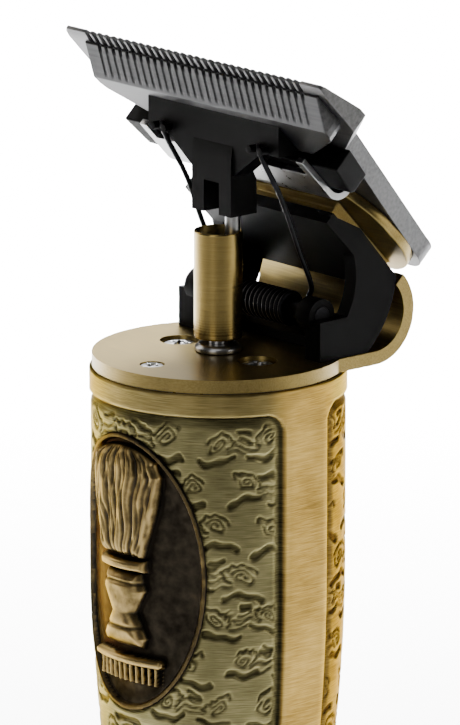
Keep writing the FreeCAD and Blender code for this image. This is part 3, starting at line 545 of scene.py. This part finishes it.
def make_tube():
    """The tube's outside as one surface, split into panel pieces and the plain rest."""
    theta = ring_angles()
    z = np.concatenate([[CAP_TOP], np.linspace(CAP_TOP + 0.25, 13.2, 8),
                        np.linspace(WINDOW_LOW, WINDOW_MID, 240),
                        np.linspace(WINDOW_MID, WINDOW_HIGH, 330)[1:],
                        np.linspace(120.6, PLATE_LOW - 0.36, 6),
                        [PLATE_LOW - 0.2, PLATE_LOW - 0.08, PLATE_LOW - 0.02]])
    t, h = np.meshgrid(theta, z)
    radius = tube_radius(h)
    is_front = np.cos(t) > 0
    off_front = np.abs(np.mod(t + math.pi, 2 * math.pi) - math.pi)
    # flat columns between the panels, square to their own middle
    column_mid = (FRONT_HALF + math.pi - BACK_HALF) / 2
    off_column = np.abs(off_front - column_mid)
    half_column = (math.pi - FRONT_HALF - BACK_HALF) / 2
    flat = (radius - 0.18) / np.cos(np.minimum(off_column, 0.5)) * math.cos(half_column * 0.78)
    flat = np.minimum(radius, flat + 0.18)
    blend = smoothstep(PLATE_LOW - 0.9, PANEL_HIGH - 0.5, h) * smoothstep(CAP_TOP + 2, PANEL_LOW, h)
    radius = radius - (radius - flat) * blend
    # crisp shoulders at both ends
    radius -= 0.2 * smoothstep(0.3, 0.0, h - CAP_TOP) + 0.22 * smoothstep(0.22, 0.02, PLATE_LOW - h)

    local = np.where(is_front, np.mod(t + math.pi, 2 * math.pi) - math.pi, np.mod(t, 2 * math.pi) - math.pi)
    edge = panel_distance(local, h, np.where(is_front, FRONT_HALF, BACK_HALF))
    plaque = np.where(is_front, oval_distance(local * ARC_R, h), 99.0)
    relief = np.zeros_like(t)
    for side in (is_front, ~is_front):
        mask = side & (edge < 0.2)
        relief[mask] = panel_relief(local[mask] * ARC_R, h[mask])
    # a plain ring round the button's opening and the lamp
    button = opening_distance("power_button", 3.4, radius * local, h, is_front)
    lamp = opening_distance("led_lens", 0.9, radius * local, h, is_front)
    shore = smoothstep(-0.5, -1.5, edge) * smoothstep(0.0, 0.35, plaque)
    shore *= smoothstep(0.3, 1.0, button) * smoothstep(0.2, 0.8, lamp)
    relief *= shore
    moat = smoothstep(0.12, -0.28, edge)
    plateau = smoothstep(-0.35, -1.4, edge)
    sunk = 0.52 * moat - 0.36 * plateau + 0.16 * smoothstep(0.55, 0.1, plaque) * (edge < 0)
    under_plaque = 1.0 * smoothstep(-0.2, -0.9, plaque)
    well = 1.6 * smoothstep(0.08, -0.12, button) + 0.3 * smoothstep(0.08, -0.12, lamp)
    radius = radius - sunk + relief - under_plaque - well

    points = np.stack([radius * np.sin(t), -radius * np.cos(t), h], -1)
    around = np.roll(points, -1, 1) - np.roll(points, 1, 1)
    normals = np.cross(around, np.gradient(points, axis=0))
    normals /= np.linalg.norm(normals, axis=-1, keepdims=True)
    points, normals = points.reshape(-1, 3), normals.reshape(-1, 3)

    # dark patina lies in whatever is lower than its surroundings, deepened with painted shade, and raised
    # rims come out lighter, partly rubbed metal and partly painted highlight
    cavity = relief - soften(relief, 14)
    tone = 0.60 + relief * 0.6 + np.clip(cavity * 1.7, -0.3, 0.2)
    # painted shade: a dark band in the groove along the panel's edge, with a lesser darkening on the slope
    # inside it; painted highlight: a bright line on the fillet just outside the edge, kept on the columns too
    tone -= 0.46 * np.exp(-((edge + 0.22) / 0.26) ** 2) + 0.12 * smoothstep(-1.8, -0.6, edge) * (edge < 0)
    tone += 0.22 * np.exp(-((edge - 0.2) / 0.14) ** 2)
    tone = np.where(edge > 0.2, 0.62 + 0.22 * np.exp(-((edge - 0.2) / 0.14) ** 2), tone)
    # painted shade in the dip round the plaque
    tone -= 0.3 * smoothstep(0.75, 0.1, plaque) * (edge < 0)
    # painted shade in the button's well
    tone -= 0.45 * smoothstep(0.15, -0.05, button)
    # painted shade on the tube just under the plate
    tone -= 0.35 * smoothstep(0.3, 0.0, PLATE_LOW - h)
    # painted shade over the whole back panel, to hold down the bright floor it reflects at a grazing angle
    tone -= np.where((edge <= 0) & ~is_front, 0.2, 0.0)
    gold = np.where(edge > 0, 0.35 + 0.65 * smoothstep(0.42, 0.2, off_column), 0.0)
    gold = np.where((edge <= 0) & ~is_front, 0.9, gold)

    cols = len(theta)
    faces = grid_faces(len(z), cols, wrap=True)
    reach = np.where(is_front, FRONT_HALF, BACK_HALF) + math.radians(1.41)
    mid = (np.abs(local) < reach).reshape(-1)[faces].all(1)
    tall = h.reshape(-1)[faces]
    in_window = mid & (tall.min(1) > WINDOW_LOW - 0.01) & (tall.max(1) < WINDOW_HIGH + 0.01)
    face_front = is_front.reshape(-1)[faces].all(1)
    covered = face_front & (plaque.reshape(-1)[faces].max(1) < -1.6)
    upper = tall.min(1) > WINDOW_MID - 0.01
    groups = {"front_panel_upper": in_window & face_front & upper & ~covered,
              "front_panel_lower": in_window & face_front & ~upper,
              "back_panel": in_window & ~face_front,
              "body_tube": ~in_window}
    for name, chosen in groups.items():
        used = np.unique(faces[chosen])
        place = np.full(len(points), -1)
        place[used] = np.arange(len(used))
        obj = add_mesh(name, points[used], place[faces[chosen]], MATERIALS["body_brass"])
        obj.data.normals_split_custom_set_from_vertices(normals[used].tolist())
        add_tone(obj, tone.reshape(-1)[used])
        add_tone(obj, gold.reshape(-1)[used], "gold")
        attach(obj, "housing")
    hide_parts("housing")


# ---------------------------------------------------------------- medallion

def segment(x, z, a, b, ra, rb):
    """Signed distance to a tapered bar with round ends."""
    dx, dz = b[0] - a[0], b[1] - a[1]
    t = np.clip(((x - a[0]) * dx + (z - a[1]) * dz) / (dx * dx + dz * dz), 0, 1)
    return np.hypot(x - a[0] - t * dx, z - a[1] - t * dz) - (ra + (rb - ra) * t)


def dome(d, height, width):
    """A rounded swelling inside a shape, from its signed distance."""
    t = np.clip(-d / width, 0, 1)
    return height * np.sqrt(np.clip(1 - (1 - t) ** 2, 0, 1))


def emblem_height(x, z):
    """A plain shaving brush above a comb, as a height over the plaque's field."""
    # brush hair: a flared tuft with a domed crown
    half = np.interp(z, [1.8, 3.2, 8.0, 11.5, 13.2, 14.6], [3.1, 3.5, 5.0, 5.5, 4.9, 2.6])
    tuft = np.maximum(np.abs(x) - half, np.maximum(1.8 - z, z - 14.6 + 0.06 * x * x))
    strands = 0.13 * np.sin(x / np.maximum(half, 0.5) * 24 + 1.3 * np.sin(z * 0.7 + x))
    strands += 0.08 * np.sin(x / np.maximum(half, 0.5) * 51 + 2.1 * np.sin(z * 0.9))
    locks = 0.16 * np.sin(x / np.maximum(half, 0.5) * 8.5 + 0.8 * np.sin(z * 0.45))
    hair = dome(tuft, 1.75, 2.2) + (strands + locks) * smoothstep(0.0, -0.8, tuft)
    # collar and turned handle
    collar = np.maximum(np.abs(x) - 3.45, np.abs(z - 1.1) - 0.75)
    ring = dome(collar, 1.75, 0.55) * (1 - 0.02 * x * x)
    waist = np.interp(z, [-8.4, -7.2, -4.4, -1.8, 0.4], [2.9, 3.4, 1.9, 3.3, 2.7])
    grip = np.maximum(np.abs(x) - waist, np.maximum(z - 0.4, -8.4 - z))
    handle = dome(grip, 1.6, 1.9)
    for height, width in ((-6.0, 0.22), (-0.9, 0.2)):
        handle = handle - 0.18 * np.exp(-((z - height) / width) ** 2)
    brush = np.maximum(np.where(tuft < 0, hair, 0), np.maximum(np.where(collar < 0, ring, 0),
                                                              np.where(grip < 0, handle, 0)))
    # comb: a spine with a row of teeth under it
    spine = segment(x, z, (-5.0, -9.9), (5.0, -9.9), 0.62, 0.62)
    between = np.abs(np.mod(x + 0.45, 0.9) - 0.45) - 0.24
    tooth = np.maximum(between, np.maximum(np.abs(x) - 5.2, np.abs(z + 11.2) - 1.3))
    comb = np.maximum(np.where(spine < 0, dome(spine, 1.3, 0.5), 0),
                      np.where(tooth < 0, dome(tooth, 0.9, 0.2), 0))
    return np.maximum(brush, comb)


def make_medallion():
    """The oval plaque: thin bright rim, dark sunk field and the emblem in high relief."""
    rows, cols = 300, 196
    level = np.linspace(-1, 1, cols)
    up = np.linspace(-1, 1, rows)
    u, v = np.meshgrid(level, up)
    # square to disc, so that the grid's edge is the oval itself
    x = u * np.sqrt(1 - v * v / 2)
    y = v * np.sqrt(1 - u * u / 2)
    grow = 0.45
    s = x * (MEDALLION_WIDE + grow)
    z = MEDALLION_MID + y * (MEDALLION_TALL + grow)
    rim = oval_distance(s, z)
    emblem = emblem_height(s, z - MEDALLION_MID)
    field = -1.0 + 0.3 * smoothstep(-2.2, -0.5, rim)
    lift = np.where(rim > -0.5, -0.7 + 0.68 * smoothstep(-0.5, -0.26, rim), field)
    lift = lift - 0.75 * smoothstep(0.04, 0.45, rim)
    face = lift + emblem * (rim < -0.6)
    radius = tube_radius(z) + face
    theta = s / ARC_R
    points = np.stack([radius * np.sin(theta), -radius * np.cos(theta), z], -1).reshape(-1, 3)
    tone = 0.2 + 0.36 * smoothstep(0.15, 0.7, emblem) + 0.22 * smoothstep(0.8, 1.9, emblem)
    # crevices stay dark
    tone = tone + np.clip((emblem - soften(emblem, 8)) * 2.4, -0.5, 0.3)
    tone = tone + np.clip((emblem - soften(emblem, 60)) * 0.35, -0.3, 0.2)
    tone = np.where(rim > -0.42, 0.62, tone)
    # painted shade on the plaque's outer edge, where it dips down into the panel
    tone = np.where(rim > 0.08, 0.12, tone)
    obj = add_mesh("medallion_plaque", points, grid_faces(rows, cols), MATERIALS["medallion_brass"])
    add_tone(obj, tone)
    add_tone(obj, np.zeros_like(tone), "gold")
    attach(obj, "housing")
    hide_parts("medallion")


# ---------------------------------------------------------------- screws, sleeve, button

def screw_head(place, radius, rise, deep):
    """A domed cross-recess head: place sets its seat and its axis, rise is the dome above the rim."""
    count = 46
    line = np.linspace(-1, 1, count)
    u, v = np.meshgrid(line, line)
    x, y = u * np.sqrt(1 - v * v / 2), v * np.sqrt(1 - u * u / 2)
    r = np.hypot(x, y)
    high = rise * (1 - r ** 2) - 0.12 * smoothstep(0.9, 1.0, r)
    arms = np.maximum(np.minimum(np.abs(x), np.abs(y)) - 0.13, np.maximum(np.abs(x), np.abs(y)) - 0.56)
    pit = np.hypot(x, y) - 0.24
    high = high - deep * smoothstep(0.05, -0.05, np.minimum(arms, pit)) * (1 - 0.6 * np.clip(r / 0.56, 0, 1))
    top = np.stack([x * radius, y * radius, high], -1).reshape(-1, 3)
    index = np.arange(count * count).reshape(count, count)
    ring = np.concatenate([index[0], index[1:, -1], index[-1, -2::-1], index[-2:0:-1, 0]])
    skirt = top[ring] * (1, 1, 0) - (0, 0, 0.55)
    points = np.concatenate([top, skirt])
    low = len(top) + np.arange(len(ring))
    faces = [tuple(f) for f in grid_faces(count, count)]
    faces += list(zip(ring, low, np.roll(low, -1), np.roll(ring, -1)))
    faces.append(tuple(reversed(low.tolist())))
    return points @ np.array(place.to_3x3()).T + np.array(place.translation), faces


def blade_point(x, along, out):
    """A place in the blade set's own axes: along X, along the blade, and out of it."""
    return Vector((x, out * math.sin(BLADE_TILT) - along * math.cos(BLADE_TILT),
                   PLATE_TOP + out * math.cos(BLADE_TILT) + along * math.sin(BLADE_TILT)))


def make_screws():
    upright = Matrix.Translation
    heads = [screw_head(upright((x, 0, PLATE_TOP - 0.42)) @ Matrix.Rotation(turn, 4, "Z"), 1.9, 0.2, 0.5)
             for x, turn in ((-6.5, 0.5), (6.5, 1.1))]
    front = upright((0, -9.7, PLATE_TOP - 0.14)) @ Matrix.Rotation(0.3, 4, "Z")
    heads.append(screw_head(front, 1.34, 0.12, 0.4))
    square = Matrix.Rotation(-BLADE_TILT, 4, "X")
    blade = []
    for x, turn in ((-5.0, 0.2), (5.0, 0.9)):
        place = upright(blade_point(x, 0, 22.18)) @ square @ Matrix.Rotation(turn, 4, "Z")
        blade.append(screw_head(place, 2.12, 0.2, 0.6))
    over = Matrix.Rotation(math.pi, 4, "X")
    foot = [screw_head(upright((x, 0, 0.5)) @ over @ Matrix.Rotation(turn, 4, "Z"), 1.58, 0.14, 0.45)
            for x, turn in ((-8.0, 0.7), (8.0, 0.1))]
    for name, parts, node in (("plate_screw_heads", heads, "plate_screws"),
                              ("blade_screw_heads", blade, "blade_screws"),
                              ("bottom_screw_heads", foot, "bottom_screws")):
        obj = add_mesh(name, *merged(parts), MATERIALS["polished_steel"])
        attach(obj, "housing")
        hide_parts(node)


def make_sleeve():
    """The brass cup, with the fine rings that the lathe left."""
    low, high, r = PLATE_TOP + 1.6, PLATE_TOP + 13.7, 2.7
    z = np.arange(low + 0.2, high - 0.12, 0.05)
    up = z - low
    rings = 0.0015 * np.sin(up * 21.0) + 0.002 * np.exp(-((np.mod(up, 1.9) - 0.9) / 0.06) ** 2)
    rings += 0.009 * (np.exp(-((up - 3.5) / 0.09) ** 2) + np.exp(-((up - 5.9) / 0.07) ** 2)
                     + np.exp(-((up - 0.55) / 0.1) ** 2))
    side = np.stack([r - rings, z], -1)
    start = [(0.99, low), (r - 0.16, low), (r - 0.03, low + 0.06)]
    end = [(r - 0.02, high - 0.08), (r - 0.07, high), (r - 0.13, high), (2.5, high - 0.06),
           (2.48, high - 1.2), (0.01, high - 1.2)]
    profile = np.concatenate([start, side, end])
    obj = lathe("drive_cup", profile, Matrix.Identity(4), MATERIALS["bright_brass"])
    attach(obj, "drive")
    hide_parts("drive_sleeve")


def make_button():
    """A dished steel button with a turned face."""
    r = np.arange(0.02, 2.75, 0.045)
    dish = 12.3 - 0.24 * (1 - (r / 2.75) ** 2) + 0.008 * np.sin(r * 38)
    face = np.stack([r, dish], -1)[::-1]
    back = [(0.02, 7.95), (1.4, 7.95), (1.4, 8.3), (3.75, 8.3), (3.75, 8.95), (3.18, 8.95), (3.18, 11.9),
            (3.14, 12.12), (3.0, 12.26), (2.85, 12.3)]
    place = Matrix.Translation((0, 0, 48.0)) @ Matrix.Rotation(math.radians(90), 4, "X")
    obj = lathe("button_cap", np.concatenate([back, face]), place, MATERIALS["polished_steel"])
    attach(obj, "button")
    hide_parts("power_button")


# ---------------------------------------------------------------- cutter and spring

def make_cutter():
    """The moving blade: rounded shoulders, and fine ribs ground into its bevel."""
    rows, cols = 96, 620
    along = np.concatenate([np.linspace(16.52, 20.0, 26), np.linspace(20.06, 25.86, rows - 26)])
    half = np.interp(along, [16.2, 19.3, 19.8, 20.3, 21.1, 22.0], [12.5, 17.3, 18.1, 18.7, 19.15, 19.3])
    x = np.linspace(-1, 1, cols)[None, :] * half[:, None]
    u = np.repeat(along[:, None], cols, 1)
    inner = np.where(u < 22.1, 17.82, 17.82 + (u - 22.1) / 3.8 * 1.9)
    place = np.abs(np.mod(x / 1.16, 1.0) - 0.5) * 1.16
    slot = smoothstep(0.30, 0.16, place) * smoothstep(22.3, 23.0, u) * (np.abs(x) < 17.4)
    inner = inner + slot * (0.16 + 0.5 * smoothstep(25.0, 25.8, u))
    inner = np.minimum(inner, 19.93)
    # the edges turn down to the contact face
    rim = (half[:, None] - np.abs(x)) * np.where(u > 20, 1.0, 0.6)
    rim = np.minimum(rim, u - 16.5)
    inner = inner + 0.1 * smoothstep(0.16, 0.0, rim)
    level = np.full_like(inner, 19.97)
    flat = [np.stack([x + FORK_X, u, level_of], -1).reshape(-1, 3) for level_of in (inner, level)]
    points = np.concatenate(flat)
    index = np.arange(rows * cols).reshape(rows, cols)
    ring = np.concatenate([index[0], index[1:, -1], index[-1, -2::-1], index[-2:0:-1, 0]])
    low = ring + rows * cols
    quads = grid_faces(rows, cols)
    faces = [tuple(f) for f in quads]
    walls = list(zip(ring, low, np.roll(low, -1), np.roll(ring, -1)))
    sine, cosine = math.sin(BLADE_TILT), math.cos(BLADE_TILT)
    world = np.stack([points[:, 0], points[:, 2] * sine - points[:, 1] * cosine,
                      PLATE_TOP + points[:, 2] * cosine + points[:, 1] * sine], -1)
    faces += [tuple(w) for w in walls]
    faces.append(tuple(reversed(low.tolist())))
    used = np.unique(np.concatenate([np.asarray(f) for f in faces]))
    place_of = np.full(len(world), -1)
    place_of[used] = np.arange(len(used))
    faces = [tuple(place_of[i] for i in f) for f in faces]
    # the cutter's steel is painted darker than the fixed blade's, as shade
    obj = add_mesh("cutter", world[used], faces, MATERIALS["cutter_steel"])
    sharpen(obj, 35)
    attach(obj, "blade_carrier")
    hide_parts("moving_blade")


def sharpen(obj, degrees):
    """Keep edges crisp where two faces meet at more than this angle."""
    mesh = obj.data
    work = bmesh.new()
    work.from_mesh(mesh)
    bmesh.ops.recalc_face_normals(work, faces=work.faces)
    limit = math.radians(degrees)
    for edge in work.edges:
        edge.smooth = not (edge.is_manifold and edge.calc_face_angle(0.0) > limit)
    work.to_mesh(mesh)
    work.free()


def make_spring():
    """A double torsion spring: a close coil on its pin, and two long legs that reach the fork."""
    wire = 0.3
    turns, half = 17, 5.75
    t = np.linspace(0, 1, turns * 22)
    angle = 2 * math.pi * turns * t
    coil_r = 2.0 - wire
    coil_z = PLATE_TOP + 4.8
    coil = np.stack([-half + 2 * half * t, 6.0 + coil_r * np.cos(angle), coil_z + coil_r * np.sin(angle)], -1)
    legs = []
    for side in (-1, 1):
        hook = FORK_X + side * 8.0
        legs.append(smooth_path([(side * half, 6.0 + coil_r, coil_z), (side * 6.5, 7.6, PLATE_TOP + 6.1),
                                 (side * 7.5, 7.0, PLATE_TOP + 7.8), (side * 7.9, 4.9, PLATE_TOP + 12.0),
                                 (hook - side * 0.1, 1.6, PLATE_TOP + 18.2), (hook, -1.05, PLATE_TOP + 22.7),
                                 (hook, -1.85, PLATE_TOP + 24.3), (hook, -1.95, PLATE_TOP + 25.1)]))
    path = np.concatenate([legs[0][::-1], coil[4:-4], legs[1]])
    obj = add_mesh("spring_wire", *sweep(path, wire), MATERIALS["black_wire"])
    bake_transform(obj)
    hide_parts("torsion_spring")


make_tube()
make_medallion()
make_screws()
make_sleeve()
make_button()
make_cutter()
make_spring()
EDGES = (("neck_bracket", 0.2, True), ("blade_plate", 0.22, False), ("fixed_blade", 0.09, True),
         ("blade_guide", 0.08, True), ("guide_spacer", 0.2, False), ("swing_fork", 0.14, True),
         ("spring_bracket", 0.2, True), ("drive_pin", 0.1, True), ("upper_bearing", 0.08, True),
         ("bottom_cap", 0.3, True), ("spring_pin", 0.1, True), ("led_lens", 0.12, True))
for name, edge, clamp in EDGES:
    dress(name, edge, clamp)


# ---------------------------------------------------------------- stage, light and camera

def make_stage():
    paint, _, shader = new_material("floor_paint")
    shader.inputs["Base Color"].default_value = (0.93, 0.93, 0.93, 1)
    shader.inputs["Roughness"].default_value = 0.8
    shader.inputs["Specular IOR Level"].default_value = 0.1
    far = 9000
    corners = [(-far, -far, 0), (far, -far, 0), (far, far, 0), (-far, far, 0)]
    floor = add_mesh("floor", corners, [(0, 1, 2, 3)], paint, smooth=False)
    world = bpy.data.worlds.new("studio")
    bpy.context.scene.world = world
    world.use_nodes = True
    world.node_tree.nodes["Background"].inputs["Color"].default_value = (1.0, 1.0, 1.0, 1)
    world.node_tree.nodes["Background"].inputs["Strength"].default_value = 0.05


def add_light(name, place, aim, size, power, colour=(1, 1, 1), spread=180):
    data = bpy.data.lights.new(name, "AREA")
    data.spread = math.radians(spread)
    data.shape = "RECTANGLE"
    data.size, data.size_y = size
    data.energy = power
    data.color = colour
    obj = bpy.data.objects.new(name, data)
    bpy.context.scene.collection.objects.link(obj)
    obj.location = place
    obj.rotation_euler = (Vector(aim) - Vector(place)).to_track_quat("-Z", "Y").to_euler()
    return obj


def make_camera():
    """A long lens from the front right, a little above, framed on the top third of the object."""
    azimuth, elevation, distance = math.radians(48.5), math.radians(13.9), 1.1
    back = Vector((math.sin(azimuth) * math.cos(elevation), -math.cos(azimuth) * math.cos(elevation),
                   math.sin(elevation)))
    right = Vector((math.cos(azimuth), math.sin(azimuth), 0))
    target = right * 0.0013 + Vector((0, 0, PLATE_TOP * MM - 0.0014))
    data = bpy.data.cameras.new("camera")
    data.sensor_width = 36.0
    data.lens = 9.04 / MM * distance * data.sensor_width / 725
    data.clip_start, data.clip_end = 0.05, 30.0
    camera = bpy.data.objects.new("camera", data)
    bpy.context.scene.collection.objects.link(camera)
    camera.location = target + back * distance
    camera.rotation_euler = (-back).to_track_quat("-Z", "Y").to_euler()
    bpy.context.scene.camera = camera


make_stage()
HEAD = (0, 0, 0.12)


def from_side(azimuth, elevation, distance, aim=HEAD):
    """A place seen from the aim at an azimuth from the front, counted towards +X, and an elevation."""
    a, e = math.radians(azimuth), math.radians(elevation)
    return (aim[0] + distance * math.sin(a) * math.cos(e), aim[1] - distance * math.cos(a) * math.cos(e),
            aim[2] + distance * math.sin(e))


add_light("right_box", from_side(128, 12, 0.9), HEAD, (0.75, 0.7), 3.2, (1.0, 0.97, 0.9))
add_light("left_box", from_side(-75, 18, 0.9), HEAD, (0.5, 0.8), 3.0, (1.0, 0.93, 0.84))
add_light("top_box", from_side(20, 68, 1.0), HEAD, (0.5, 0.5), 1.0)
add_light("front_box", from_side(22, 14, 1.0), HEAD, (0.4, 0.6), 1.5, (1.0, 0.98, 0.94))
add_light("rear_box", from_side(228, 24, 1.1), HEAD, (0.7, 0.3), 1.6)
add_light("backdrop_lamp", from_side(228.5, 40, 1.35), from_side(228.5, -13, 0.66), (0.9, 0.5), 52.0,
          spread=60)
make_camera()
